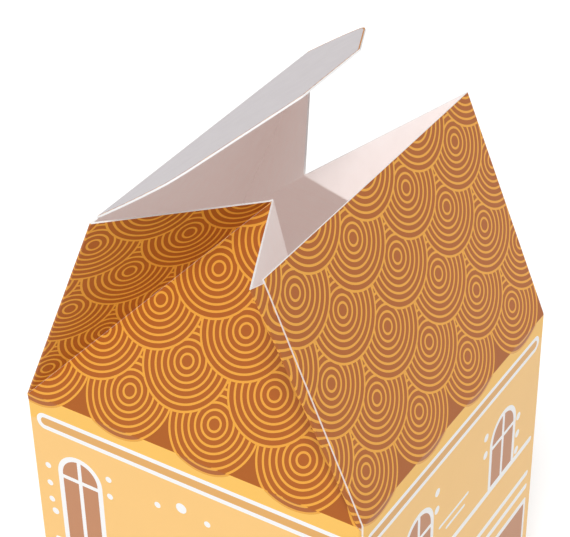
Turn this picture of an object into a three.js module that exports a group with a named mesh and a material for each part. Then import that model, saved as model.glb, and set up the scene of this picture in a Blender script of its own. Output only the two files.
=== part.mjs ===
// House gift box: a printed folding carton with a gable roof, standing half open.
// One die-cut sheet of boxboard is creased, folded round and glued down one corner.
// Each gable end closes with a web gusset: a middle triangle hinged on the gable wall,
// and two outer triangles that fold back between it and the roof slopes.
// The ridge edge of the left slope carries a long tuck flap.
//
// Frame: millimetres, +Z up, origin at the middle of the base. The gable walls face
// -Y (near) and +Y (far), the roof slopes rise from the -X (left) and +X (right) walls.

import * as THREE from 'three';

// Driving dimensions
const boxWidth = 100;        // outside, across the gable wall
const boxDepth = 100;        // outside, along the ridge
const wallHeight = 110;      // base to eave crease
const slopeLength = 67;      // eave crease to ridge edge, up the roof
const board = 0.5;           // thickness of the boxboard
const roofTilt = 23;         // lean of both slopes from upright, degrees

// The glued seam at the near right corner
const glueLine = 0.05;       // between the glued faces
const glueFlapWidth = 12;    // lap under the right wall and slope
const glueFlapChamfer = 4;   // slant at its two ends
const glueFlapStart = 2.5;   // its foot above the base, clear of the bottom flaps
const seamReveal = 1;        // from the corner to the right panel's cut edge
const seamSkew = 3.4;        // how far the glued fold stands past the corner at the ridge
const skewLift = 0.8;        // degrees by which the askew seam holds the near web more upright

// The tuck flap on the left ridge edge
const flapDepth = 44.5;      // crease to free edge
const flapEndGap = 2.5;      // set back from each end of the ridge
const flapShoulder = 25;     // crease to where the slanted corner starts
const flapTaper = 6;         // how far each side draws in up to there
const flapCorner = 36.5;     // from the ridge's end to where the slanted corner ends
const flapBow = 1.2;         // bulge of each side, mid-way to the shoulder
const flapLean = 54;         // lean of the open flap from upright, degrees
const creaseGap = 0.4;       // from the flap's crease line to the cut board on each side

// The snap-lock bottom
const layerGap = 0.1;        // air between flaps that lie on each other
const bottomGap = 0.6;       // clearance at the ends of the bottom flaps
const hingeLift = 0.12;      // lifts the hinge of a climbing flap clear of the ground
const sideRamp = 1.6;        // width in which a side flap climbs over the near flap
const sideFlapDepth = 24;    // wall to inner edge of a side flap
const sideFlapNose = 19;     // half length of that inner edge
const farRamp = 3;           // width in which the far flap climbs over the side flaps
const farFlapReach = 50;     // far wall to the tips of its two prongs
const farFlapCorner = 12;    // slant beside each prong
const slotDepth = 13;        // slot between the prongs
const slotSide = 2;          // clearance beside the tongue
const nearFlapReach = 56;    // near wall to where the tongue starts to climb
const shoulderReach = 40;    // near wall to where the near flap starts to narrow
const shoulderWidth = 26;    // half width of the near flap beside its tongue
const tongueWidth = 20;      // half width of the tongue
const tongueRamp = 6;        // width in which the tongue climbs through the slot
const tongueLength = 19;     // flat tongue beyond the slot
const tongueCorner = 4;      // slant at the tongue's tip

// Values that follow
const radians = THREE.MathUtils.degToRad;
const halfWidth = (boxWidth - board) / 2;
const halfDepth = (boxDepth - board) / 2;
const tilt = radians(roofTilt);
const ridgeX = halfWidth - slopeLength * Math.sin(tilt);
const ridgeZ = wallHeight + slopeLength * Math.cos(tilt);
const baseZ = board / 2;
const layer = board + layerGap;
const lap = board + glueLine;
const foldX = halfWidth - lap;
const foldZ = wallHeight - lap * Math.tan(tilt / 2);
const seamY = -halfDepth + seamReveal;
const glueReach = -halfDepth + glueFlapWidth;

const printed = new THREE.MeshStandardMaterial({ color: '#c98346', roughness: 0.45, metalness: 0 });
const plainBoard = new THREE.MeshStandardMaterial({ color: '#e9e4e2', roughness: 0.8, metalness: 0 });

const point = (x, y, z) => new THREE.Vector3(x, y, z);

// The points of the folded sheet, in the middle of the board's thickness, and its panels,
// each a list of point names that runs anticlockwise seen from outside the box
const points = {};
const panels = [];

// The normal of a flat outline
function facing(names) {
  const normal = point(0, 0, 0);
  names.forEach((name, i) => {
    normal.add(points[name].clone().cross(points[names[(i + 1) % names.length]]));
  });
  return normal.normalize();
}

// From the middle of the board to its outer face at a point where panels meet. Where a few
// panels meet this is their mitre. Where five creases meet no point lies on all five faces,
// so it is the closest fit, and each panel keeps at least a share of its thickness.
function mitre(normals) {
  const offset = point(0, 0, 0);
  const leastShare = 0.25;
  for (let sweep = 0; sweep < 600; sweep += 1) {
    normals.forEach((normal) => {
      offset.addScaledVector(normal, 0.3 * (board / 2 - normal.dot(offset)));
    });
  }
  for (let sweep = 0; sweep < 200; sweep += 1) {
    normals.forEach((normal) => {
      const thin = leastShare * board / 2 - normal.dot(offset);
      offset.addScaledVector(normal, Math.max(thin, 0));
    });
  }
  return offset;
}

// The sheet's two faces, panel by panel, closed along every edge that has a panel on one
// side only
function foldedSheet() {
  const normalsAt = {};
  panels.forEach((names) => {
    const normal = facing(names);
    names.forEach((name) => {
      normalsAt[name] = (normalsAt[name] ?? []).filter((other) => other.dot(normal) < 0.9999);
      normalsAt[name].push(normal);
    });
  });
  const outer = {};
  const inner = {};
  Object.entries(normalsAt).forEach(([name, normals]) => {
    const offset = mitre(normals);
    outer[name] = points[name].clone().add(offset);
    inner[name] = points[name].clone().sub(offset);
  });

  const corners = [];
  const edges = new Map();
  panels.forEach((names) => {
    const normal = facing(names);
    const start = points[names[0]];
    const along = points[names[1]].clone().sub(start).normalize();
    const across = normal.clone().cross(along);
    const flat = names.map((name) => {
      const offset = points[name].clone().sub(start);
      return new THREE.Vector2(offset.dot(along), offset.dot(across));
    });
    THREE.ShapeUtils.triangulateShape(flat, []).forEach(([a, b, c]) => {
      corners.push(outer[names[a]], outer[names[b]], outer[names[c]]);
      corners.push(inner[names[a]], inner[names[c]], inner[names[b]]);
    });
    names.forEach((name, i) => edges.set(`${name} ${names[(i + 1) % names.length]}`, true));
  });
  edges.forEach((_, edge) => {
    const [a, b] = edge.split(' ');
    if (!edges.has(`${b} ${a}`)) {
      corners.push(outer[b], outer[a], inner[a]);
      corners.push(outer[b], inner[a], inner[b]);
    }
  });
  return new THREE.BufferGeometry().setFromPoints(corners);
}

// With slopes leaning by tilt, the middle triangle of a web leans so that the crease from its
// apex to each slope's ridge corner keeps its flat length of half the gable's width
function webTilt() {
  const share = halfWidth / slopeLength;
  return Math.acos((1 - share * Math.sin(tilt)) / Math.cos(tilt));
}

function roofPoints() {
  const flapEdge = slopeLength - creaseGap;
  const flapEdgeX = -halfWidth + flapEdge * Math.sin(tilt);
  const flapEdgeZ = wallHeight + flapEdge * Math.cos(tilt);
  const farTilt = webTilt();
  const nearTilt = farTilt - radians(skewLift);
  const slopeNormal = point(Math.cos(tilt), 0, Math.sin(tilt));

  points.eaveNearLeft = point(-halfWidth, -halfDepth, wallHeight);
  points.eaveFarLeft = point(-halfWidth, halfDepth, wallHeight);
  points.eaveFarRight = point(halfWidth, halfDepth, wallHeight);
  points.eaveSeam = point(halfWidth, seamY, wallHeight);
  points.ridgeNearLeft = point(flapEdgeX, -halfDepth, flapEdgeZ);
  points.ridgeFarLeft = point(flapEdgeX, halfDepth, flapEdgeZ);
  points.ridgeFarRight = point(ridgeX, halfDepth, ridgeZ);
  points.ridgeSeam = point(ridgeX, seamY, ridgeZ);
  points.eaveFold = point(foldX, -halfDepth, foldZ);
  points.ridgeFold = point(ridgeX, -halfDepth - seamSkew, ridgeZ).addScaledVector(slopeNormal, -lap);
  points.apexNear = point(0, -halfDepth + slopeLength * Math.sin(nearTilt),
    wallHeight + slopeLength * Math.cos(nearTilt));
  points.apexFar = point(0, halfDepth - slopeLength * Math.sin(farTilt),
    wallHeight + slopeLength * Math.cos(farTilt));
}

// Two slopes, and at each gable a middle triangle between two outer ones
function roof() {
  roofPoints();
  panels.push(['eaveFarLeft', 'eaveNearLeft', 'ridgeNearLeft', 'ridgeFarLeft']);
  panels.push(['eaveSeam', 'eaveFarRight', 'ridgeFarRight', 'ridgeSeam']);
  panels.push(['eaveNearLeft', 'eaveFold', 'apexNear']);
  panels.push(['eaveNearLeft', 'apexNear', 'ridgeNearLeft']);
  panels.push(['eaveFold', 'ridgeFold', 'apexNear']);
  panels.push(['eaveFarRight', 'eaveFarLeft', 'apexFar']);
  panels.push(['eaveFarRight', 'apexFar', 'ridgeFarRight']);
  panels.push(['eaveFarLeft', 'ridgeFarLeft', 'apexFar']);
}

// The glue flap: a lap inside the right wall, and its continuation inside the right slope
function glueFlap() {
  const ridgeEnd = points.ridgeFold.clone().setY(glueReach);
  points.foldFoot = point(foldX, -halfDepth, glueFlapStart);
  points.glueFoot = point(foldX, glueReach, glueFlapStart + glueFlapChamfer);
  points.glueEave = point(foldX, glueReach, foldZ);
  const downSlope = points.glueEave.clone().sub(ridgeEnd).normalize();
  points.glueRidge = ridgeEnd.addScaledVector(downSlope, glueFlapChamfer);
  panels.push(['foldFoot', 'glueFoot', 'glueEave', 'eaveFold']);
  panels.push(['eaveFold', 'glueEave', 'glueRidge', 'ridgeFold']);
}

// A bottom flap on its hinge along a wall: a short ramp up to its own layer, then the flat
// flap. Hinge and outline are given along the wall and away from it, and run anticlockwise
// seen from above; place turns them into x and y.
function bottomFlap(name, level, ramp, hinge, outline, place) {
  const z = baseZ + level * layer;
  const set = (key, side, reach, height) => {
    points[key] = place(side, reach).setZ(height);
    return key;
  };
  const hingeZ = level === 0 ? baseZ : baseZ + hingeLift;
  const start = set(`${name}HingeStart`, hinge[0], 0, hingeZ);
  const end = set(`${name}HingeEnd`, hinge[1], 0, hingeZ);
  const edge = outline.map(([side, reach], i) => set(`${name}${i}`, side, reach, z));
  if (level === 0) {
    panels.push([end, start, ...edge]);
    return;
  }
  const rampStart = set(`${name}RampStart`, hinge[0], ramp, z);
  const rampEnd = set(`${name}RampEnd`, hinge[1], ramp, z);
  panels.push([end, start, rampStart, rampEnd]);
  panels.push([rampEnd, rampStart, ...edge]);
}

// The snap-lock bottom: the side flaps lie on the near flap, the far flap lies on them, and
// the near flap's tongue climbs through the slot between the far flap's prongs onto it
function bottom() {
  const nearHalf = halfWidth - sideRamp - bottomGap;
  const farHalf = halfWidth - bottomGap;
  const slotHalf = tongueWidth + slotSide;
  const prongHalf = farHalf - farFlapCorner;
  const slotEnd = farFlapReach - slotDepth;
  const sideNear = -halfDepth + bottomGap;
  const sideFar = halfDepth - farRamp - bottomGap;

  bottomFlap('near', 0, 0, [-nearHalf, nearHalf], [
    [-nearHalf, shoulderReach],
    [-shoulderWidth, nearFlapReach],
    [-tongueWidth, nearFlapReach],
    [tongueWidth, nearFlapReach],
    [shoulderWidth, nearFlapReach],
    [nearHalf, shoulderReach],
  ], (side, reach) => point(side, -halfDepth + reach, 0));

  bottomFlap('left', 1, sideRamp, [sideFar, sideNear], [
    [sideFlapNose, sideFlapDepth],
    [-sideFlapNose, sideFlapDepth],
  ], (side, reach) => point(-halfWidth + reach, side, 0));

  bottomFlap('right', 1, sideRamp, [sideNear + glueFlapChamfer, sideFar], [
    [-sideFlapNose, sideFlapDepth],
    [sideFlapNose, sideFlapDepth],
  ], (side, reach) => point(halfWidth - reach, side, 0));

  bottomFlap('far', 2, farRamp, [farHalf, -farHalf], [
    [farHalf, slotEnd],
    [prongHalf, farFlapReach],
    [slotHalf, farFlapReach],
    [slotHalf, slotEnd],
    [-slotHalf, slotEnd],
    [-slotHalf, farFlapReach],
    [-prongHalf, farFlapReach],
    [-farHalf, slotEnd],
  ], (side, reach) => point(side, halfDepth - reach, 0));
}

// The near flap's tongue
function tongue() {
  const rampEnd = -halfDepth + nearFlapReach + tongueRamp;
  const z = baseZ + 3 * layer;
  ['Left', 'Right'].forEach((key, i) => {
    const x = (2 * i - 1) * tongueWidth;
    const tipX = (2 * i - 1) * (tongueWidth - tongueCorner);
    points[`tongueRise${key}`] = point(x, rampEnd, z);
    points[`tongueSide${key}`] = point(x, rampEnd + tongueLength - tongueCorner, z);
    points[`tongueTip${key}`] = point(tipX, rampEnd + tongueLength, z);
  });
  panels.push(['near3', 'near2', 'tongueRiseLeft', 'tongueRiseRight']);
  panels.push(['tongueRiseRight', 'tongueRiseLeft', 'tongueSideLeft', 'tongueTipLeft',
    'tongueTipRight', 'tongueSideRight']);
}

// The walls, each with the hinge of its bottom flap as part of its lower edge
function walls() {
  points.baseNearLeft = point(-halfWidth, -halfDepth, baseZ);
  points.baseFarLeft = point(-halfWidth, halfDepth, baseZ);
  points.baseFarRight = point(halfWidth, halfDepth, baseZ);
  points.baseSeam = point(halfWidth, seamY, baseZ);
  points.baseFold = point(foldX, -halfDepth, baseZ);
  panels.push(['baseNearLeft', 'nearHingeStart', 'nearHingeEnd', 'baseFold', 'foldFoot',
    'eaveFold', 'eaveNearLeft']);
  panels.push(['baseFarLeft', 'leftHingeStart', 'leftHingeEnd', 'baseNearLeft', 'eaveNearLeft',
    'eaveFarLeft']);
  panels.push(['baseFarRight', 'farHingeStart', 'farHingeEnd', 'baseFarLeft', 'eaveFarLeft',
    'eaveFarRight']);
  panels.push(['baseSeam', 'rightHingeStart', 'rightHingeEnd', 'baseFarRight', 'eaveFarRight',
    'eaveSeam']);
}

// The tuck flap as a flat blank: x along the crease from the ridge's middle, y away from it
function flapOutline() {
  const half = halfDepth - flapEndGap;
  const shoulderX = halfDepth - flapTaper;
  const cornerX = halfDepth - flapCorner;
  const bowX = (half + shoulderX) / 2 + 2 * flapBow;
  const bowY = flapShoulder / 2;
  const outline = new THREE.Shape();
  outline.moveTo(-half, creaseGap);
  outline.lineTo(half, creaseGap);
  outline.quadraticCurveTo(bowX, bowY, shoulderX, flapShoulder);
  outline.lineTo(cornerX, flapDepth);
  outline.lineTo(-cornerX, flapDepth);
  outline.lineTo(-shoulderX, flapShoulder);
  outline.quadraticCurveTo(-bowX, bowY, -half, creaseGap);
  return outline;
}

// The flap stands on the ridge crease and leans in over the mouth
function closureFlap() {
  const lean = radians(flapLean);
  const blank = new THREE.ExtrudeGeometry(flapOutline(), {
    depth: board, bevelEnabled: false, curveSegments: 8,
  });
  blank.translate(0, 0, -board / 2);
  const along = point(0, 1, 0);
  const away = point(Math.sin(lean), 0, Math.cos(lean));
  const normal = along.clone().cross(away);
  blank.applyMatrix4(new THREE.Matrix4().makeBasis(along, away, normal));
  const mesh = new THREE.Mesh(blank, plainBoard);
  mesh.name = 'closure_flap';
  mesh.position.set(-ridgeX, 0, ridgeZ);
  return mesh;
}

function carton() {
  roof();
  glueFlap();
  bottom();
  tongue();
  walls();
  const mesh = new THREE.Mesh(foldedSheet(), printed);
  mesh.name = 'carton';
  return mesh;
}

const houseGiftBox = new THREE.Group();
houseGiftBox.add(carton(), closureFlap());

export default houseGiftBox;
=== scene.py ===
import math

import bmesh
import bpy
import numpy as np
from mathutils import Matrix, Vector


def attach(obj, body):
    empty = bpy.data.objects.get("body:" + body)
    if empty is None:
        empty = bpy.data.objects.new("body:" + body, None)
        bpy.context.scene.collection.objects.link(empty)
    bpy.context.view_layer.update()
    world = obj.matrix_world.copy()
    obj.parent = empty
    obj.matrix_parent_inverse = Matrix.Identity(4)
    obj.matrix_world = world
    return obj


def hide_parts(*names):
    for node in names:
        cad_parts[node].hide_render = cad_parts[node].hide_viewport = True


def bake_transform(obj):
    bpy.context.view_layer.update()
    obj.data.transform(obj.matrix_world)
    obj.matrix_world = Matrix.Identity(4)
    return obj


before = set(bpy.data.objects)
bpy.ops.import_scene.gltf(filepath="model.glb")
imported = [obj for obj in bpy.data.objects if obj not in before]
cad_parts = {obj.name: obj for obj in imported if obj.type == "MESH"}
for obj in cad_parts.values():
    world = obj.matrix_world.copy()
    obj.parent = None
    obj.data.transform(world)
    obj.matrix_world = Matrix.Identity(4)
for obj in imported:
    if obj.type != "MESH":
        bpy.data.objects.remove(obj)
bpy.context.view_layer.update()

# The carton
# One die-cut sheet of coated boxboard, printed and varnished outside and plain inside. It is
# creased, folded up into four walls, two roof slopes and two web gussets, and glued down the
# near right corner.

# Sizes are in millimetres. The right wall and slope stop SEAM_REVEAL short of the glued corner.
# The glue flap's fold runs out by SEAM_SKEW at its ridge end, and the near web's apex stands
# SKEW_LIFT steeper than the far one's.
MM = 0.001
BOARD = 0.5
OUTSIDE = 100
WIDTH = OUTSIDE - BOARD
DEPTH = OUTSIDE - BOARD
WALL = 110.0
SLOPE = 67.0
TILT = math.radians(23)
SKEW_LIFT = math.radians(0.8)
CREASE_GAP = 0.4
SEAM_REVEAL = 1.0
SEAM_SKEW = 3.4
GLUE_WIDTH = 12.0
GLUE_CHAMFER = 4.0
GLUE_START = 2.5
LAP = BOARD + 0.05

# wall_x and wall_y are the distances of the walls' mid-planes from the box's centre, and middle_u
# is the middle of a printed face
wall_x = WIDTH / 2
wall_y = DEPTH / 2
middle_u = OUTSIDE / 2
ridge_x = wall_x - SLOPE * math.sin(TILT)
ridge_z = WALL + SLOPE * math.cos(TILT)
fold_x = wall_x - LAP
fold_z = WALL - LAP * math.tan(TILT / 2)
seam_y = -wall_y + SEAM_REVEAL
glue_y = -wall_y + GLUE_WIDTH
web_tilt = math.acos((1 - wall_x / SLOPE * math.sin(TILT)) / math.cos(TILT))
near_tilt = web_tilt - SKEW_LIFT

GABLE, SIDE = 0, 1
# Where each face's tile courses start along the sheet, so that they run round its corners
TILE_START = {"near": 0.0, "right": 97.7, "left": -100.0, "far": 200.0}
# Cells along each side of a panel's grid
CELLS = 40
NO_TRIANGLES = np.empty((0, 3), int)

surfaces = []


def keep(face, points, sheet, quads, triangles=NO_TRIANGLES):
    """Stores a surface: points and sheet places as grids, faces as indices into them."""
    layout = GABLE if face in ("near", "far") else SIDE
    sheet = sheet.reshape(-1, 2)
    tiles = sheet + (TILE_START[face], 0)
    surfaces.append((points.reshape(-1, 3), sheet, tiles, layout, quads, triangles))


def grid_quads(shape):
    """The corners of every cell of a grid, in order round the cell."""
    index = np.arange(shape[0] * shape[1]).reshape(shape)
    return np.stack([index[:-1, :-1], index[1:, :-1], index[1:, 1:], index[:-1, 1:]], axis=-1)


def patch(corners, sheet, face, cells=(CELLS, CELLS), bow=0.0, across=None, climb=None):
    """Bilinear surface: corners p0, p1, p2, p3 give
    P(s, t) = (1 - t)((1 - s) p0 + s p1) + t ((1 - s) p3 + s p2). Its middle stands out along the
    patch's normal by bow sin(pi s) sin(pi t). sheet gives the same corners on the printed face,
    in millimetres: along the eave, and up from it. across sets the places of the grid lines on
    the lower edge, which even out towards the upper one, and climb sets the lines' heights."""
    p = np.array(corners, float)
    q = np.array(sheet, float)
    s, t = np.linspace(0, 1, cells[0] + 1), np.linspace(0, 1, cells[1] + 1)
    t = t if climb is None else climb
    s, t = np.meshgrid(s, t, indexing="ij")
    if across is not None:
        s = (1 - t) * across[:, None] + t * s
    s, t = s[..., None], t[..., None]

    def blend(c):
        return (1 - t) * ((1 - s) * c[0] + s * c[1]) + t * ((1 - s) * c[3] + s * c[2])

    normal = np.cross(p[1] - p[0], (p[2] + p[3]) / 2 - p[0])
    normal /= np.linalg.norm(normal)
    points = blend(p) + bow * np.sin(np.pi * s) * np.sin(np.pi * t) * normal
    keep(face, points, blend(q), grid_quads(points.shape[:2]).reshape(-1, 4))


def fan(corners, sheet, face, bow=0.0):
    """Triangular surface P(i, j) = a + (b - a) i/n + (c - a) j/n for i + j <= n. Its middle stands
    out along its normal by bow times 27 i j (n - i - j) / n^3."""
    a, b, c = np.array(corners, float)
    u, v, w = np.array(sheet, float)
    i, j = np.meshgrid(np.arange(CELLS + 1), np.arange(CELLS + 1), indexing="ij")
    s, t = i[..., None] / CELLS, j[..., None] / CELLS
    normal = np.cross(b - a, c - a)
    normal /= np.linalg.norm(normal)
    points = a + (b - a) * s + (c - a) * t + 27 * bow * s * t * np.maximum(1 - s - t, 0) * normal
    quads = grid_quads(i.shape)
    reach = (i + j)[:-1, :-1]
    keep(face, points, u + (v - u) * s + (w - u) * t, quads[reach <= CELLS - 2],
         quads[reach == CELLS - 1][:, [0, 1, 3]])


def upright(face):
    """Horizontal unit vectors of a wall seen from outside: rightwards, and inwards."""
    return {"near": ((1, 0), (0, 1)), "right": ((0, 1), (-1, 0)),
            "far": ((-1, 0), (0, -1)), "left": ((0, -1), (1, 0))}[face]


foot = BOARD / 2
# One board and a little play
LAYER = BOARD + 0.1
END_GAP = 0.6
SIDE_RAMP = 1.6
FAR_RAMP = 3.0
# Spacing of the bottom flaps' rows of points
ROW = 4


def snapped(start, end, keys):
    """Even places from start to end, with the nearest ones moved onto the keys."""
    nodes = np.linspace(start, end, CELLS + 1)
    used = 0
    for key in sorted(keys):
        spot = max(used + 1, int(np.argmin(np.abs(nodes - key))))
        nodes[spot] = key
        used = spot
    return nodes


climb_nodes = snapped(0, 1, [(GLUE_START - foot) / (fold_z - foot)])


def wall(face, half, start, end, lines, top_left, top_right, bow):
    """A wall seen from outside, from start to end along its own rightward axis. lines are the
    places of its grid lines along the bottom."""
    right, inward = np.array(upright(face))
    low_left = (*(right * start - inward * half), foot)
    low_right = (*(right * end - inward * half), foot)
    left_u, right_u, low_v = start + middle_u, end + middle_u, foot - WALL
    patch((low_left, low_right, top_right, top_left),
          ((left_u, low_v), (right_u, low_v), (right_u, 0), (left_u, 0)),
          face, bow=bow, across=(lines - start) / (end - start), climb=climb_nodes)


def bottom_flap(face, half, lines, outline, climb):
    """A bottom flap: rows of points at rising distances from its wall, cut off where the outline
    ends. climb gives the height by the distance."""
    right, inward = upright(face)
    side = lines[(lines > outline[0][0] - STEP / 2) & (lines < outline[0][-1] + STEP / 2)]
    depth = np.interp(side, *outline)
    rows = np.concatenate([np.arange(0, depth.max(), ROW), outline[1], climb[0]])
    rows = np.unique(np.round(rows, 4))
    rows = rows[rows <= depth.max() + STEP / 2]
    cut = np.minimum(rows[None, :], depth[:, None])
    x = right[0] * side[:, None] + inward[0] * (cut - half)
    y = right[1] * side[:, None] + inward[1] * (cut - half)
    points = np.stack([x, y, np.interp(cut, *climb)], axis=-1)[::-1]
    sheet = np.stack([side[:, None] + middle_u + 0 * cut, foot - WALL - cut], axis=-1)[::-1]
    narrow = np.diff(side) < 2 * STEP
    limit = np.where(narrow, np.minimum(depth[1:], depth[:-1]), np.maximum(depth[1:], depth[:-1]))
    kept = (rows[None, :-1] < limit[:, None] - STEP / 2)[::-1]
    keep(face, points, sheet, grid_quads(points.shape[:2])[kept])


eave = {"near_left": (-wall_x, -wall_y, WALL), "far_left": (-wall_x, wall_y, WALL),
        "far_right": (wall_x, wall_y, WALL), "seam": (wall_x, seam_y, WALL),
        "fold": (fold_x, -wall_y, fold_z)}
flap_edge = SLOPE - CREASE_GAP
edge_x = -wall_x + flap_edge * math.sin(TILT)
edge_z = WALL + flap_edge * math.cos(TILT)
ridge = {"near_left": (edge_x, -wall_y, edge_z), "far_left": (edge_x, wall_y, edge_z),
         "far_right": (ridge_x, wall_y, ridge_z), "seam": (ridge_x, seam_y, ridge_z),
         "fold": (ridge_x - LAP * math.cos(TILT), -wall_y - SEAM_SKEW,
                  ridge_z - LAP * math.sin(TILT))}
apex_near = (0, -wall_y + SLOPE * math.sin(near_tilt), WALL + SLOPE * math.cos(near_tilt))
apex_far = (0, wall_y - SLOPE * math.sin(web_tilt), WALL + SLOPE * math.cos(web_tilt))

# The snap-lock bottom, as lengths along each flap's hinge and reaches from its wall. STEP is the
# width in which an outline jumps from one reach to another
SIDE_REACH, SIDE_NOSE = 24.0, 19.0
FAR_REACH, SLOT_DEPTH, FAR_CORNER = 50.0, 13.0, 12.0
NEAR_REACH, SHOULDER_REACH, SHOULDER = 56.0, 40.0, 26.0
TONGUE, TONGUE_RAMP, TONGUE_LENGTH, TONGUE_CORNER = 20.0, 6.0, 19.0, 4.0
SLOT = TONGUE + 2
STEP = 0.01
tongue_end = NEAR_REACH + TONGUE_RAMP + TONGUE_LENGTH
slot_end = FAR_REACH - SLOT_DEPTH
prong = wall_x - END_GAP - FAR_CORNER

near_end = wall_x - SIDE_RAMP - END_GAP
far_end = wall_x - END_GAP
left_ends = -(wall_y - FAR_RAMP - END_GAP), wall_y - END_GAP
right_ends = -(wall_y - END_GAP - GLUE_CHAMFER), wall_y - FAR_RAMP - END_GAP


def mirrored(*corners):
    """An outline on both sides of a hinge's middle, from its places and reaches on one side."""
    sides, reaches = np.array(corners).T
    return np.concatenate([-sides[::-1], sides]), np.concatenate([reaches[::-1], reaches])


near_outline = mirrored(
    (0, tongue_end), (TONGUE - TONGUE_CORNER, tongue_end), (TONGUE, tongue_end - TONGUE_CORNER),
    (TONGUE + STEP, NEAR_REACH), (SHOULDER, NEAR_REACH), (near_end, SHOULDER_REACH))
far_outline = mirrored((0, slot_end), (SLOT, slot_end), (SLOT + STEP, FAR_REACH),
                       (prong, FAR_REACH), (far_end, slot_end))
side_reaches = (SIDE_RAMP, SIDE_REACH, SIDE_REACH, SIDE_RAMP)
left_outline = (left_ends[0], -SIDE_NOSE, SIDE_NOSE, left_ends[1]), side_reaches
right_outline = (right_ends[0], -SIDE_NOSE, SIDE_NOSE, right_ends[1]), side_reaches

# Distances from the wall and the heights there: the side flaps lie on the near one, the far one
# on the side ones, and the near one's tongue on top
near_climb = (0, NEAR_REACH, NEAR_REACH + TONGUE_RAMP), (foot, foot, foot + 3 * LAYER)
side_climb = (0, SIDE_RAMP), (foot, foot + LAYER)
far_climb = (0, FAR_RAMP), (foot, foot + 2 * LAYER)

WALL_BOW = 0.35
for face, half, start, end, outline, climb, top_left, top_right in (
        ("near", wall_y, -wall_x, fold_x, near_outline, near_climb, "near_left", "fold"),
        ("right", wall_x, seam_y, wall_y, right_outline, side_climb, "seam", "far_right"),
        ("far", wall_y, -wall_x, wall_x, far_outline, far_climb, "far_right", "far_left"),
        ("left", wall_x, -wall_y, wall_y, left_outline, side_climb, "far_left", "near_left")):
    lines = snapped(start, end, outline[0])
    wall(face, half, start, end, lines, eave[top_left], eave[top_right], WALL_BOW)
    bottom_flap(face, half, lines, outline, climb)

SLOPE_BOW = 0.5
seam_u = seam_y + middle_u
patch((eave["seam"], eave["far_right"], ridge["far_right"], ridge["seam"]),
      ((seam_u, 0), (OUTSIDE, 0), (OUTSIDE, SLOPE), (seam_u, SLOPE)), "right", bow=SLOPE_BOW)
patch((eave["far_left"], eave["near_left"], ridge["near_left"], ridge["far_left"]),
      ((0, 0), (OUTSIDE, 0), (OUTSIDE, flap_edge), (0, flap_edge)), "left", bow=SLOPE_BOW)

WEB_BOW = 0.15
apex_place = middle_u, SLOPE
for face, first, second, apex in (("near", "near_left", "fold", apex_near),
                                  ("far", "far_right", "far_left", apex_far)):
    fan((eave[first], eave[second], apex), ((0, 0), (OUTSIDE, 0), apex_place), face, WEB_BOW)
    fan((eave[first], apex, ridge[first]), ((0, 0), apex_place, (0, SLOPE)), face, WEB_BOW)
    fan((eave[second], ridge[second], apex), ((OUTSIDE, 0), (OUTSIDE, SLOPE), apex_place),
        face, WEB_BOW)

# The glue flap, in line with the near wall's and web's edges
fold = np.array(ridge["fold"])
down = np.array([fold_x - fold[0], 0, fold_z - fold[2]])
down /= np.linalg.norm(down)
glue_ridge = np.array([fold[0], glue_y, fold[2]]) + GLUE_CHAMFER * down
glue_eave = fold_x, glue_y, fold_z
GLUE_CELLS = (4, CELLS)
lap_u = OUTSIDE + GLUE_WIDTH
low_v = GLUE_START - WALL
start_line = int(np.argmin(np.abs(foot + climb_nodes * (fold_z - foot) - GLUE_START)))
glue_climb = (climb_nodes[start_line:] - climb_nodes[start_line]) / (1 - climb_nodes[start_line])
patch(((fold_x, -wall_y, GLUE_START), (fold_x, glue_y, GLUE_START + GLUE_CHAMFER),
       glue_eave, eave["fold"]),
      ((OUTSIDE, low_v), (lap_u, low_v), (lap_u, 0), (OUTSIDE, 0)), "near",
      cells=GLUE_CELLS, climb=glue_climb)
patch((eave["fold"], glue_eave, glue_ridge, ridge["fold"]),
      ((OUTSIDE, 0), (lap_u, 0), (lap_u, SLOPE - GLUE_CHAMFER), (OUTSIDE, SLOPE)), "near",
      cells=GLUE_CELLS)


# Points nearer than this, in metres, are one point, and shorter edges are none
SAME_POINT = 2e-6
NO_EDGE = 1e-6


def sheet_mesh(name, patches, maps):
    """Joins surfaces into one mesh in metres. Each has two UV maps in millimetres."""
    points, first_map, second_map, quads, triangles, layouts = [], [], [], [], [], ([], [])
    first = 0
    for grid, place, other, layout, fours, threes in patches:
        points.append(grid * MM)
        first_map.append(place)
        second_map.append(other)
        quads.append(fours + first)
        triangles.append(threes + first)
        layouts[0].append(np.full(len(fours), layout, np.int32))
        layouts[1].append(np.full(len(threes), layout, np.int32))
        first += len(grid)
    points, first_map, second_map = (np.concatenate(a) for a in (points, first_map, second_map))
    quads, triangles = np.concatenate(quads), np.concatenate(triangles)
    mesh = bpy.data.meshes.new(name)
    mesh.from_pydata(points.tolist(), [], quads.tolist() + triangles.tolist())
    corners = np.concatenate([quads.ravel(), triangles.ravel()])
    for key, values in zip(maps, (first_map, second_map)):
        mesh.uv_layers.new(name=key).data.foreach_set("uv", values[corners].ravel())
    mesh.polygons.foreach_set("material_index", np.concatenate(layouts[0] + layouts[1]))
    work = bmesh.new()
    work.from_mesh(mesh)
    bmesh.ops.remove_doubles(work, verts=work.verts, dist=SAME_POINT)
    bmesh.ops.dissolve_degenerate(work, edges=work.edges, dist=NO_EDGE)
    # The grids' points that no face uses go only now: the merge depends on all of them
    loose = [v for v in work.verts if not v.link_faces]
    bmesh.ops.delete(work, geom=loose, context="VERTS")
    work.to_mesh(mesh)
    work.free()
    piece = bpy.data.objects.new(name, mesh)
    bpy.context.collection.objects.link(piece)
    return piece


# Map print holds the place on each face, and map tiles the same with the faces side by side
carton = sheet_mesh("printed_carton", surfaces, ("print", "tiles"))


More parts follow.
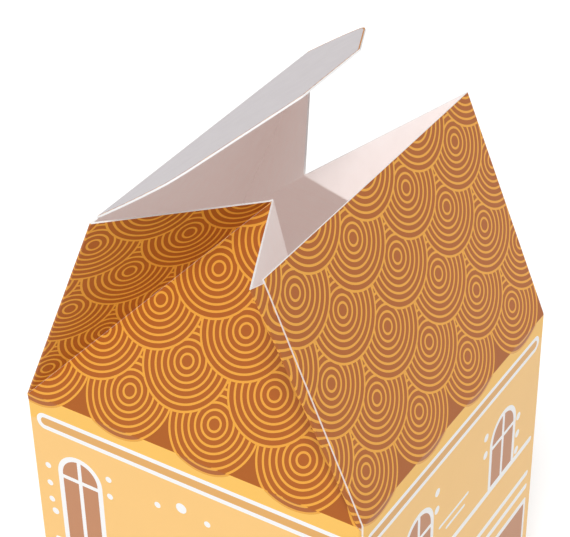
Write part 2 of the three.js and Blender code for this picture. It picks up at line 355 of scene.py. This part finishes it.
def thicken(piece, faces):
    """Gives a sheet the board's thickness, half on each side. Its list of materials holds those of
    its faces first, then as many for its back, then as many for its cut edge."""
    board = piece.modifiers.new("board", "SOLIDIFY")
    board.thickness = BOARD * MM
    board.offset = 0
    board.use_even_offset = True
    board.material_offset = faces
    board.material_offset_rim = 2 * faces


# Edges that turn by more than CREASE_ANGLE are creases, rounded over CREASE on each side
CREASE = 0.25
CREASE_ANGLE = math.radians(20.5)
bevel = carton.modifiers.new("crease_roundness", "BEVEL")
bevel.width = CREASE * MM
bevel.segments = 3
bevel.limit_method = "ANGLE"
bevel.angle_limit = CREASE_ANGLE
bevel.use_clamp_overlap = False
thicken(carton, 2)


def linear(code):
    """An sRGB hex colour as linear red, green and blue, and a full alpha."""
    c = np.array([int(code[i:i + 2], 16) for i in (1, 3, 5)]) / 255
    return (*np.where(c <= 0.04045, c / 12.92, ((c + 0.055) / 1.055) ** 2.4), 1.0)


def add(tree, kind, inputs=(), out=0, **settings):
    """Adds a node with its settings, sets or links its inputs in order, and returns an output."""
    node = tree.nodes.new(kind)
    for key, value in settings.items():
        setattr(node, key, value)
    for socket, value in (inputs.items() if isinstance(inputs, dict) else enumerate(inputs)):
        if isinstance(value, bpy.types.NodeSocket):
            tree.links.new(value, node.inputs[socket])
        else:
            node.inputs[socket].default_value = value
    return node.outputs[out]


def calc(tree, operation, *values):
    """A Math node."""
    return add(tree, "ShaderNodeMath", values, operation=operation)


def colour_mix(tree, share, a, b, blend="MIX"):
    """A colour Mix node."""
    inputs = {0: share, 6: a, 7: b}
    return add(tree, "ShaderNodeMix", inputs, out=2, data_type="RGBA", blend_type=blend)


def principled(name, colour="#808080", roughness=0.5):
    """A new material with its Principled shader and its node tree."""
    material = bpy.data.materials.new(name)
    material.use_nodes = True
    tree = material.node_tree
    shader = tree.nodes["Principled BSDF"]
    shader.inputs["Base Color"].default_value = linear(colour)
    shader.inputs["Roughness"].default_value = roughness
    return material, tree, shader


TILE_PITCH = 26.0
TILE_RADIUS = 13.0
COURSE = 12.2
FIRST_TILE = (2.9, 10.2)
RINGS = 7
NO_DISC = 999.0
RING_LINE = 0.62
ROOF_BROWN = linear("#AE5E1A")
ROOF_PLAIN = linear("#A95B18")
ROOF_LINE = linear("#EAA63C")


def coordinates(tree, uv_map):
    """A UV map, and its first and second coordinates."""
    uv = add(tree, "ShaderNodeUVMap", uv_map=uv_map)
    split = add(tree, "ShaderNodeSeparateXYZ", (uv,)).node.outputs
    return uv, split[0], split[1]


def hypotenuse(tree, a, b):
    """Length of a line whose two sides are given."""
    return calc(tree, "SQRT", calc(tree, "MULTIPLY_ADD", a, a, calc(tree, "MULTIPLY", b, b)))


def tile_radius(tree, u, v, course):
    """Distance to the nearest disc centre of a course, where courses count up from the eave and
    every second one is shifted by half a pitch."""
    odd = calc(tree, "MULTIPLY", calc(tree, "FLOORED_MODULO", course, 2), 0.5)
    along = calc(tree, "DIVIDE", calc(tree, "SUBTRACT", u, FIRST_TILE[0]), TILE_PITCH)
    turn = calc(tree, "SUBTRACT", along, odd)
    off = calc(tree, "SUBTRACT", turn, calc(tree, "ROUND", turn))
    off = calc(tree, "MULTIPLY", off, TILE_PITCH)
    centre = calc(tree, "MULTIPLY_ADD", course, COURSE, FIRST_TILE[1])
    rise = calc(tree, "SUBTRACT", v, centre)
    return hypotenuse(tree, off, rise)


def roof_print(tree):
    """Scale tiles drawn as overlapping discs with ring lines, each course over the one below.
    Gives the colour, 1 where the point lies on a disc, and the height above the eave."""
    _, u, v = coordinates(tree, "tiles")
    level = calc(tree, "DIVIDE", calc(tree, "SUBTRACT", v, FIRST_TILE[1]), COURSE)
    lower = calc(tree, "FLOOR", level)
    radius = NO_DISC
    # The courses that can be uppermost at a point: the highest whose disc covers it is seen
    for step in (0, 1, 2):
        course = calc(tree, "ADD", lower, float(step))
        distance = tile_radius(tree, u, v, course)
        inside = calc(tree, "MULTIPLY", calc(tree, "LESS_THAN", distance, TILE_RADIUS),
                      calc(tree, "GREATER_THAN", course, -0.5))
        difference = calc(tree, "SUBTRACT", distance, radius)
        radius = calc(tree, "MULTIPLY_ADD", inside, difference, radius)
    on_disc = calc(tree, "LESS_THAN", radius, TILE_RADIUS + 1)
    ring = calc(tree, "DIVIDE", radius, (TILE_RADIUS - RING_LINE / 2) / RINGS)
    off_line = calc(tree, "ABSOLUTE", calc(tree, "SUBTRACT", ring, calc(tree, "ROUND", ring)))
    half_line = RING_LINE / 2 / (TILE_RADIUS / RINGS)
    line = calc(tree, "MULTIPLY", calc(tree, "LESS_THAN", off_line, half_line),
                calc(tree, "MULTIPLY", calc(tree, "GREATER_THAN", ring, 0.5), on_disc))
    ground = colour_mix(tree, on_disc, ROOF_PLAIN, ROOF_BROWN)
    return colour_mix(tree, line, ground, ROOF_LINE), on_disc, v


def place_calc(tree, operation, *vectors, out=0):
    """A Vector Math node."""
    return add(tree, "ShaderNodeVectorMath", vectors, out=out, operation=operation)


def bar_distance(tree, point, centre, half, rounding):
    """Distance outside a bar of the given half lengths, less its rounding: negative inside."""
    off = place_calc(tree, "ABSOLUTE", place_calc(tree, "SUBTRACT", point, (*centre, 0.0)))
    off = place_calc(tree, "SUBTRACT", off, (*half, 0.0))
    off = place_calc(tree, "MAXIMUM", off, (0.0, 0.0, 0.0))
    return calc(tree, "SUBTRACT", place_calc(tree, "LENGTH", off, out=1), rounding)


def outlined(tree, distance, line):
    """Distance to a line of the given width along a shape's edge."""
    return calc(tree, "SUBTRACT", calc(tree, "ABSOLUTE", distance), line / 2)


def arch_distance(tree, u, v, middle, spring, sill, half):
    """Distance to a round-headed window: a half disc above the spring line and straight sides
    down to its sill."""
    above = calc(tree, "MAXIMUM", calc(tree, "SUBTRACT", v, spring), 0.0)
    off = calc(tree, "SUBTRACT", u, middle)
    round_top = calc(tree, "SUBTRACT", hypotenuse(tree, off, above), half)
    return calc(tree, "MAXIMUM", round_top, calc(tree, "SUBTRACT", sill, v))


def union(tree, distances):
    """The nearest of several shapes."""
    nearest = distances[0]
    for distance in distances[1:]:
        nearest = calc(tree, "MINIMUM", nearest, distance)
    return nearest


WALL_COLOUR = linear("#FAC97C")
BAND_COLOUR = linear("#FBC45C")
CORNICE_COLOUR = linear("#E4AC62")
WINDOW_COLOUR = linear("#C2865E")
PRINT_WHITE = linear("#F8F8F8")
# Height, half width, gap to the face's ends and line width of the cornice
CORNICE = (-7.5, 1.95, 3.0, 1.35)
WINDOW_LINE = 1.55
WINDOW_BAR = 1.24
SASH_DROP = 1.0
PANEL_ROUNDING = 0.6
PANEL_LINE = 1.2
PANEL_OUTSET = 0.3
# Width of the painted highlight along the web's creases
CREASE_HIGHLIGHT_WIDTH = 0.17


def facade_print(name, windows, bars, dots, panels, web_creases=False):
    """The printed face of the board: roof tiles above the eave, a cornice, windows, bars and dots
    below it. Matt varnish over offset ink on coated boxboard: even colour with a soft sheen."""
    material, tree, shader = principled(name, roughness=0.42)
    shader.inputs["Specular IOR Level"].default_value = 0.4
    tiles, on_disc, height = roof_print(tree)
    uv, u, v = coordinates(tree, "print")

    level, half, end_gap, line = CORNICE
    above = calc(tree, "GREATER_THAN", v, level)
    colour = colour_mix(tree, above, WALL_COLOUR, BAND_COLOUR)
    fills, whites = [], []
    for middle, spring, sill, half_width in windows:
        arch = arch_distance(tree, u, v, middle, spring, sill, half_width)
        fills.append(arch)
        whites.append(outlined(tree, arch, WINDOW_LINE))
        top = spring + half_width
        post = (middle, (top + sill) / 2), (0.0, (top - sill) / 2)
        sash = (middle, spring - SASH_DROP), (half_width, 0.0)
        whites += [bar_distance(tree, uv, *bar, WINDOW_BAR / 2) for bar in (post, sash)]
    for middle, size in panels:
        box = bar_distance(tree, uv, middle, size, PANEL_ROUNDING)
        fills.append(box)
        whites.append(outlined(tree, calc(tree, "SUBTRACT", box, PANEL_OUTSET), PANEL_LINE))
    for middle, size, rounding in bars:
        whites.append(bar_distance(tree, uv, middle, size, rounding))
    for place, radius in dots:
        off = place_calc(tree, "DISTANCE", uv, (*place, 0.0), out=1)
        whites.append(calc(tree, "SUBTRACT", off, radius))
    strip = bar_distance(tree, uv, (middle_u, level), (middle_u - end_gap - half, 0.0), half)
    whites.append(outlined(tree, strip, line))

    for shape, ink in ((strip, CORNICE_COLOUR), (union(tree, fills), WINDOW_COLOUR),
                       (union(tree, whites), PRINT_WHITE)):
        colour = colour_mix(tree, calc(tree, "LESS_THAN", shape, 0.0), colour, ink)
    roof = calc(tree, "MAXIMUM", on_disc, calc(tree, "GREATER_THAN", height, 0.0))
    colour = colour_mix(tree, roof, colour, tiles)

    # The ink is a little uneven, and the varnish has a fine grain
    place = add(tree, "ShaderNodeTexCoord", out=3)
    cloud = add(tree, "ShaderNodeTexNoise", {"Vector": place, "Scale": 60.0, "Detail": 3.0})
    shade = calc(tree, "MULTIPLY_ADD", cloud, 0.05, 0.975)
    colour = colour_mix(tree, 1.0, colour, shade, "MULTIPLY")
    if web_creases:
        # Flecks of print white along the web's two slanting creases: a painted highlight on the
        # folds
        diagonal = math.hypot(middle_u, SLOPE)
        aside = calc(tree, "ABSOLUTE", calc(tree, "SUBTRACT", u, middle_u))
        run = calc(tree, "MULTIPLY", calc(tree, "SUBTRACT", middle_u, aside), SLOPE / diagonal)
        climb = calc(tree, "MULTIPLY", v, middle_u / diagonal)
        off_crease = calc(tree, "ABSOLUTE", calc(tree, "SUBTRACT", run, climb))
        flecks = add(tree, "ShaderNodeTexNoise", {"Vector": place, "Scale": 700.0, "Detail": 3.0})
        crease_highlight = calc(tree, "MULTIPLY", calc(tree, "LESS_THAN", off_crease, CREASE_HIGHLIGHT_WIDTH), flecks)
        colour = colour_mix(tree, crease_highlight, colour, PRINT_WHITE)
    tree.links.new(colour, shader.inputs["Base Color"])
    grain = add(tree, "ShaderNodeTexNoise", {"Vector": place, "Scale": 900.0, "Detail": 2.0})
    bump = add(tree, "ShaderNodeBump", {"Strength": 0.04, "Distance": 0.00005, "Height": grain})
    tree.links.new(bump, shader.inputs["Normal"])
    return material


# Places of the dots from the middle of their window
LEFT_DOTS, RIGHT_DOTS = -10.6, 9.7


def window_dots(middle, left, right, radius=0.95):
    """Dots beside a window, given by their heights on its left and right."""
    return [((middle + side, v), radius)
            for side, heights in ((LEFT_DOTS, left), (RIGHT_DOTS, right)) for v in heights]


# Spring line, sill and half width of a window
GABLE_WINDOW = (-23.2, -47.0, 6.5)
SIDE_WINDOW = (-26.0, -41.5, 7.2)
DOOR = (-62.0, -104.0, 11.0)
gable_bars = [((middle, v), (reach, 0.0), thick) for middle in (15.0, 85.0)
              for v, reach, thick in ((-48.6, 10.0, 0.8), (-56.0, 9.0, 0.55), (-60.0, 7.0, 0.55))]
side_bars = [((middle, v), (20.0, 0.0), 0.95) for middle in (26.0, 76.0)
             for v in (-54.5, -59.6, -65.0)]
loose_dots = [((40.2, -20.0), 0.95), ((47.7, -17.7), 1.6), ((55.6, -19.4), 0.95),
              ((5.2, -38.6), 1.1)]
gable_print = facade_print(
    "offset_print_gable",
    windows=[(15.0, *GABLE_WINDOW), (85.0, *GABLE_WINDOW), (50.0, *DOOR)],
    bars=gable_bars + [((50.0, -105.0), (16.0, 0.0), 0.9)],
    dots=(window_dots(15.0, (-22.7, -28.8, -34.6), (-18.6, -24.4)) + loose_dots
          + window_dots(85.0, (-18.6, -24.4), (-22.7, -28.8, -34.6))),
    panels=[((15.0, -80.0), (8.0, 10.0)), ((85.0, -80.0), (8.0, 10.0))], web_creases=True)
side_print = facade_print(
    "offset_print_side",
    windows=[(29.5, *SIDE_WINDOW), (77.5, *SIDE_WINDOW)],
    bars=side_bars + [((54.0, -42.0), (42.5, 0.0), 0.95), ((49.0, -32.0), (8.0, 0.0), 0.45),
                      ((50.0, -35.0), (5.0, 0.0), 0.45)],
    dots=(window_dots(77.5, (-20.2, -26.3), (-27.0, -33.2, -39.2), 1.25)
          + window_dots(29.5, (-20.2, -26.3), (-18.4, -24.4), 1.25)),
    panels=[((76.0, -82.6), (19.4, 16.6)), ((26.0, -82.6), (19.4, 16.6))])


# Uncoated white back of folding boxboard: bleached fibre with a dull sheen and a faint mottle
inside_board, inside_tree, inside_shader = principled("uncoated_board_back", roughness=0.5)
# A weak, even, warm glow stands in for the light that comes through the thin printed board
inside_shader.inputs["Emission Color"].default_value = (1.0, 0.81, 0.75, 1.0)
inside_shader.inputs["Emission Strength"].default_value = 0.105
inside_place = add(inside_tree, "ShaderNodeTexCoord", out=3)
inside_noise = add(inside_tree, "ShaderNodeTexNoise",
                   {"Vector": inside_place, "Scale": 250.0, "Detail": 4.0})
inside_colour = colour_mix(inside_tree, inside_noise, linear("#EDE6E4"), linear("#F6F1F0"))
inside_tree.links.new(inside_colour, inside_shader.inputs["Base Color"])
inside_bump = add(inside_tree, "ShaderNodeBump",
                  {"Strength": 0.06, "Distance": 0.0001, "Height": inside_noise})
inside_tree.links.new(inside_bump, inside_shader.inputs["Normal"])

# Cut edge of the board: bare white fibre, rougher than its faces
cut_edge, _, _ = principled("cut_board_edge", "#F4F3F2", 0.85)

for material in (gable_print, side_print, inside_board, inside_board, cut_edge, cut_edge):
    carton.data.materials.append(material)
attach(carton, "carton")
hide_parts("carton")


# The closure flap
# The tuck flap on the left slope's ridge crease, standing open and leaning over the mouth. It
# is the same board, with its white side out and a sliver of print along its cut edges.

FLAP_DEPTH = 44.5
FLAP_SHOULDER = 25.0
# Half widths at the crease, at the shoulder and at the free edge
FLAP_HALF = (wall_y - 2.5, wall_y - 6.0, wall_y - 36.5)
FLAP_BOW = 1.2
FLAP_BULGE = 0.5
FLAP_ROUNDING = 4.0
FLAP_COLUMNS, FLAP_ROWS = 61, 46
LEAN = math.radians(54)
away = np.array([math.sin(LEAN), 0, math.cos(LEAN)])
hinge_point = np.array([-ridge_x, 0, ridge_z])


def flap_half(reach):
    """Half width of the flap by distance from its crease: the smooth lesser of a bowed taper,
    which ends at the shoulder, and a straight slant from there to the free edge."""
    root, shoulder, tip = FLAP_HALF
    part = (reach - CREASE_GAP) / (FLAP_SHOULDER - CREASE_GAP)
    taper = root + (shoulder - root) * part + 4 * FLAP_BOW * np.maximum(part * (1 - part), 0)
    slant = shoulder + (tip - shoulder) * (reach - FLAP_SHOULDER) / (FLAP_DEPTH - FLAP_SHOULDER)
    share = np.clip(0.5 + 0.5 * (slant - taper) / FLAP_ROUNDING, 0, 1)
    return slant + (taper - slant) * share - FLAP_ROUNDING * share * (1 - share)


def closure_flap():
    """P(s, t): s runs across the flap, t away from its crease, and the middle bulges a little by
    FLAP_BULGE (1 - s^2) sin(pi t / depth). The second map holds the distance to the cut edge."""
    reach = np.linspace(CREASE_GAP, FLAP_DEPTH, FLAP_ROWS)
    s, t = np.meshgrid(np.linspace(-1, 1, FLAP_COLUMNS), reach, indexing="ij")
    half = flap_half(t)
    bulge = FLAP_BULGE * (1 - s ** 2) * np.sin(np.pi * t / FLAP_DEPTH)
    normal = np.array([-math.cos(LEAN), 0, math.sin(LEAN)])
    points = hinge_point + t[..., None] * away + bulge[..., None] * normal
    points[..., 1] -= s * half
    side = half * (1 - np.abs(s)) / np.hypot(1, np.gradient(half, reach, axis=1))
    edge = np.minimum(side, FLAP_DEPTH - t)
    return (points.reshape(-1, 3), np.stack([s * half, t], axis=-1).reshape(-1, 2),
            np.stack([edge, t], axis=-1).reshape(-1, 2), 0,
            grid_quads(s.shape).reshape(-1, 4), NO_TRIANGLES)


flap = sheet_mesh("white_closure_flap", [closure_flap()], ("place", "edge"))
thicken(flap, 1)

# Coated white face of the board, written a little grey as painted shade, the way the standing flap
# looks
BLEED = 0.5
DASH = 2.6
DASH_GAP = 0.4
flap_white, flap_tree, flap_shader = principled("white_coated_board", roughness=0.6)
_, from_edge, _ = coordinates(flap_tree, "edge")
bleed = calc(flap_tree, "LESS_THAN", from_edge, BLEED)
_, flap_u, flap_v = coordinates(flap_tree, "place")
dashes = calc(flap_tree, "DIVIDE", calc(flap_tree, "ADD", flap_u, flap_v), DASH)
dash = calc(flap_tree, "GREATER_THAN", calc(flap_tree, "FRACT", dashes), DASH_GAP)
flap_place = add(flap_tree, "ShaderNodeTexCoord", out=3)
flap_noise = add(flap_tree, "ShaderNodeTexNoise",
                 {"Vector": flap_place, "Scale": 200.0, "Detail": 3.0})
# Painted shade: the white board's ground is written as a light grey
flap_painted_shade_ground = colour_mix(flap_tree, flap_noise, linear("#D2CBCD"), linear("#DCD6D8"))
flap_ink = colour_mix(flap_tree, dash, ROOF_LINE, ROOF_BROWN)
flap_colour = colour_mix(flap_tree, bleed, flap_painted_shade_ground, flap_ink)
flap_tree.links.new(flap_colour, flap_shader.inputs["Base Color"])

# The flap's back is the same uncoated board, without the glow, because the flap has no print
flap_back = inside_board.copy()
flap_back.name = "uncoated_flap_back"
flap_back.node_tree.nodes["Principled BSDF"].inputs["Emission Strength"].default_value = 0.0

for material in (flap_white, flap_back, cut_edge):
    flap.data.materials.append(material)
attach(flap, "closure_flap")
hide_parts("closure_flap")


# The ridge crease
# The strip of board that bends between the left slope and its flap. It is the same sheet,
# rolled thin by the creasing rule, so it turns with the flap without a gap.

CREASE_POINTS = 9
CREASE_LENGTH = 2 * CREASE_GAP + 0.1
CREASE_HALF = 0.46 * BOARD


def crease_strip():
    """A bent bar along the ridge. The middle line of its section is the running sum of short
    steps (sin, cos) of an angle that grows evenly from the slope's tilt to the flap's lean, and
    its two sides lie CREASE_HALF off that line."""
    turn = np.linspace(TILT, LEAN, CREASE_POINTS)
    course = (turn[1:] + turn[:-1]) / 2
    step = CREASE_LENGTH / (CREASE_POINTS - 1)
    x = np.concatenate([[0], np.cumsum(np.sin(course)) * step])
    z = np.concatenate([[0], np.cumsum(np.cos(course)) * step])
    x, z = x - x[CREASE_POINTS // 2], z - z[CREASE_POINTS // 2]
    side = CREASE_HALF * np.stack([np.cos(turn), -np.sin(turn)], axis=-1)
    middle = np.stack([x, z], axis=-1)
    outer, inner = middle - side, middle + side
    section = np.concatenate([outer, inner[::-1]])
    along = np.linspace(-FLAP_HALF[0], FLAP_HALF[0], 3)
    points = np.empty((len(along), len(section), 3))
    points[..., 0] = section[:, 0] - ridge_x
    points[..., 1] = along[:, None]
    points[..., 2] = section[:, 1] + ridge_z
    index = np.arange(len(along) * len(section)).reshape(len(along), -1)
    ring = np.roll(index, -1, axis=1)
    quads = np.stack([index[:-1], ring[:-1], ring[1:], index[1:]], axis=-1).reshape(-1, 4)
    ends = [index[0][::-1].tolist(), index[-1].tolist()]
    return points.reshape(-1, 3) * MM, quads.tolist() + ends


crease_points, crease_faces = crease_strip()
crease_mesh = bpy.data.meshes.new("ridge_crease")
crease_mesh.from_pydata(crease_points.tolist(), [], crease_faces)
crease = bpy.data.objects.new("ridge_crease", crease_mesh)
bpy.context.collection.objects.link(crease)
work = bmesh.new()
work.from_mesh(crease_mesh)
bmesh.ops.recalc_face_normals(work, faces=work.faces)
work.to_mesh(crease_mesh)
work.free()
crease_mesh.materials.append(cut_edge)
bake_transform(crease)


# The studio
# A pale paper floor in a white surround, soft light from the front and above, and the camera at
# the photograph's viewing angle.

FLOOR = 6.0
FLOOR_LEVEL = -0.0002
floor_mesh = bpy.data.meshes.new("studio_floor")
floor_mesh.from_pydata([(-FLOOR, -FLOOR, FLOOR_LEVEL), (FLOOR, -FLOOR, FLOOR_LEVEL),
                        (FLOOR, FLOOR, FLOOR_LEVEL), (-FLOOR, FLOOR, FLOOR_LEVEL)],
                       [], [(0, 1, 2, 3)])
floor = bpy.data.objects.new("studio_floor", floor_mesh)
bpy.context.collection.objects.link(floor)
paper, paper_tree, paper_shader = principled("white_paper_floor", "#E8E8E8", 0.9)
# A glow that only direct views and reflections see, so that the paper looks white round the shadow
FLOOR_GLOW = 0.32
seen = paper_tree.nodes.new("ShaderNodeLightPath").outputs
direct = calc(paper_tree, "MAXIMUM", seen["Is Glossy Ray"], seen["Is Transmission Ray"])
direct = calc(paper_tree, "MAXIMUM", seen["Is Camera Ray"], direct)
glow = calc(paper_tree, "MULTIPLY", direct, FLOOR_GLOW)
paper_shader.inputs["Emission Color"].default_value = (1, 1, 1, 1)
paper_tree.links.new(glow, paper_shader.inputs["Emission Strength"])
floor_mesh.materials.append(paper)

world = bpy.data.worlds.new("studio")
bpy.context.scene.world = world
world.use_nodes = True
world_tree = world.node_tree
background = world_tree.nodes["Background"]
background.inputs["Color"].default_value = (1, 1, 1, 1)
# White where the camera sees it, and AMBIENT as light on the object
AMBIENT = 0.565
path = world_tree.nodes.new("ShaderNodeLightPath").outputs
white_ray = calc(world_tree, "MAXIMUM", path["Is Camera Ray"], path["Is Transmission Ray"])
strength = calc(world_tree, "MULTIPLY_ADD", white_ray, 1 - AMBIENT, AMBIENT)
world_tree.links.new(strength, background.inputs["Strength"])


def aim(azimuth, elevation):
    """Unit vector from the object towards a place at this azimuth, from -Y towards +X."""
    a, e = math.radians(azimuth), math.radians(elevation)
    return np.array([math.sin(a) * math.cos(e), -math.cos(a) * math.cos(e), math.sin(e)])


def lamp(name, azimuth, elevation, strength, softness):
    """A distant soft light that shines from there on the object."""
    data = bpy.data.lights.new(name, "SUN")
    data.energy = strength
    data.angle = math.radians(softness)
    lamp_object = bpy.data.objects.new(name, data)
    bpy.context.collection.objects.link(lamp_object)
    to_light = aim(azimuth, elevation)
    lamp_object.rotation_mode = "QUATERNION"
    lamp_object.rotation_quaternion = Vector(to_light).to_track_quat("Z", "Y")


lamp("key_softbox", azimuth=22, elevation=54, strength=1.8, softness=18)

# Camera place in millimetres, its heading, tilt and roll in degrees, its focal length and frame
# width in pixels, and its sensor width in millimetres
CAMERA_PLACE = (206.6, -324.9, 404.5)
CAMERA_AZIMUTH, CAMERA_TILT, CAMERA_ROLL = 32.68, 34.77, -1.11
FOCAL, FRAME_WIDTH, SENSOR = 1817.6, 570, 36.0
camera_data = bpy.data.cameras.new("camera")
camera_data.sensor_width = SENSOR
camera_data.lens = FOCAL / FRAME_WIDTH * SENSOR
camera = bpy.data.objects.new("camera", camera_data)
bpy.context.collection.objects.link(camera)
back = aim(CAMERA_AZIMUTH, CAMERA_TILT)
heading = math.radians(CAMERA_AZIMUTH)
level = np.array([math.cos(heading), math.sin(heading), 0])
rise = np.cross(back, level)
roll = math.radians(CAMERA_ROLL)
right = math.cos(roll) * level + math.sin(roll) * rise
up = np.cross(back, right)
turn = np.eye(4)
turn[:3] = np.stack([right, up, back, np.array(CAMERA_PLACE) * MM], axis=1)
camera.matrix_world = Matrix(turn.tolist())
camera_data.clip_start, camera_data.clip_end = 0.01, 100
bpy.context.scene.camera = camera
bpy.context.scene.view_settings.view_transform = "Standard"
